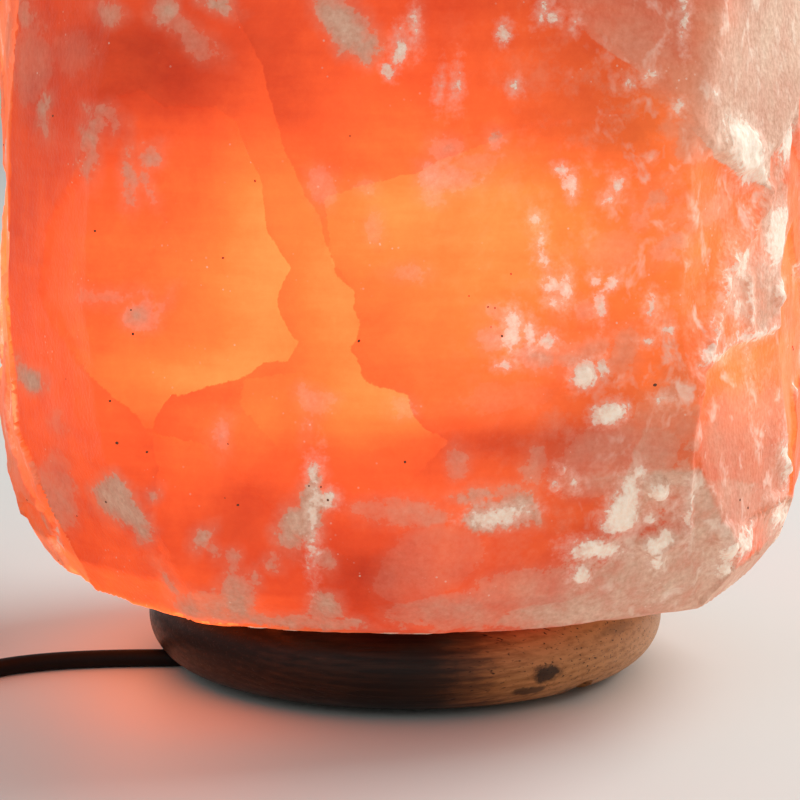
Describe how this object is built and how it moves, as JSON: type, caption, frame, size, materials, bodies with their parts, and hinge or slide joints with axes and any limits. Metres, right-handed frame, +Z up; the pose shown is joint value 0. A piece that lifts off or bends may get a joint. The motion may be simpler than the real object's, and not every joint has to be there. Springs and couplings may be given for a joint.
{
  "type": "salt crystal lamp",
  "caption": "Lamp made of a hewn block of orange salt, lit from within by a small bulb, on a turned wooden base with a black cord, an inline rotary dimmer and a plug.",
  "frame": {"origin": "on the wooden base's axis, at the surface that the feet stand on", "axes": "+Z up along the base's axis, -Y to the front, +X to the right seen from the front"},
  "size_m": [0.3933, 0.2735, 0.3285],
  "materials": {
    "salt": "satin",
    "wood": "satin",
    "rubber_black": "matte",
    "nylon_grey": "matte",
    "zinc_steel": "satin",
    "sheet_steel": "satin",
    "brass": "satin",
    "phenolic_black": "gloss",
    "steatite": "matte",
    "solder": "satin",
    "black_glass": "gloss",
    "bulb_cap_metal": "satin",
    "clear_glass": "gloss",
    "lead_wire": "satin",
    "tungsten": "satin",
    "cord_black": "matte",
    "core_brown": "matte",
    "nylon_black": "matte",
    "case_black": "satin",
    "board_green": "satin",
    "pot_metal": "satin",
    "nylon_white": "matte",
    "knob_black": "satin",
    "chip_black": "matte",
    "capacitor_red": "gloss",
    "choke_copper": "satin",
    "plug_black": "satin",
    "pin_nickel": "polished",
    "sleeve_grey": "matte"
  },
  "bodies": {
    "lamp": {"base_lead": "cord_black", "block_anchors": "nylon_grey", "block_screws": "zinc_steel", "carrier_cup": "sheet_steel", "cord_coil": "cord_black", "cord_grip_bar": "nylon_black", "cord_grip_body": "nylon_black", "dimmer_board": "board_green", "dimmer_capacitor": "capacitor_red", "dimmer_choke": "choke_copper", "dimmer_exit_cord": "cord_black", "dimmer_lower_case": "case_black", "dimmer_potentiometer": "pot_metal", "dimmer_screws": "zinc_steel", "dimmer_strain_reliefs": "cord_black", "dimmer_triac": "chip_black", "dimmer_upper_case": "case_black", "grip_screws": "zinc_steel", "holder_cap": "phenolic_black", "holder_centre_contact": "brass", "holder_insert": "steatite", "holder_skirt": "phenolic_black", "holder_sleeve": "brass", "holder_terminals": "brass", "lamp_cord": "cord_black", "lead_cores": "core_brown", "nipple": "brass", "nipple_nut": "brass", "nipple_washer": "zinc_steel", "plate_screws": "zinc_steel", "plug_body": "plug_black", "plug_cord": "cord_black", "plug_pin_sleeves": "sleeve_grey", "plug_pins": "pin_nickel", "plug_strain_relief": "plug_black", "rubber_feet": "rubber_black", "salt_block": "salt", "terminal_screws": "zinc_steel", "wood_base": "wood"},
    "bulb_foot": {"bulb_contact": "solder", "bulb_insulator": "black_glass"},
    "bulb": {"bulb_cap": "bulb_cap_metal", "bulb_glass": "clear_glass", "bulb_stem": "clear_glass", "bulb_leads": "lead_wire", "bulb_filament": "tungsten"},
    "knob": {"dimmer_knob": "knob_black", "dimmer_shaft": "nylon_white"}
  },
  "joints": [
    {"name": "bulb_lift", "type": "slide", "parent": "lamp", "child": "bulb_foot", "axis": [0, 0, 1], "range_m": [0, 0.0113]},
    {"name": "bulb_turn", "type": "hinge", "parent": "bulb_foot", "child": "bulb", "pos_m": [0, 0, 0.075], "axis": [0, 0, 1], "range_deg": [0, 1440]},
    {"name": "knob_turn", "type": "hinge", "parent": "lamp", "child": "knob", "pos_m": [-0.25, -0.012, 0.02], "axis": [0, 0, 1], "range_deg": [0, 300]}
  ],
  "couplings": [
    {"joint": "bulb_lift", "follows": "bulb_turn", "m_per_rad": 0.00044913}
  ]
}
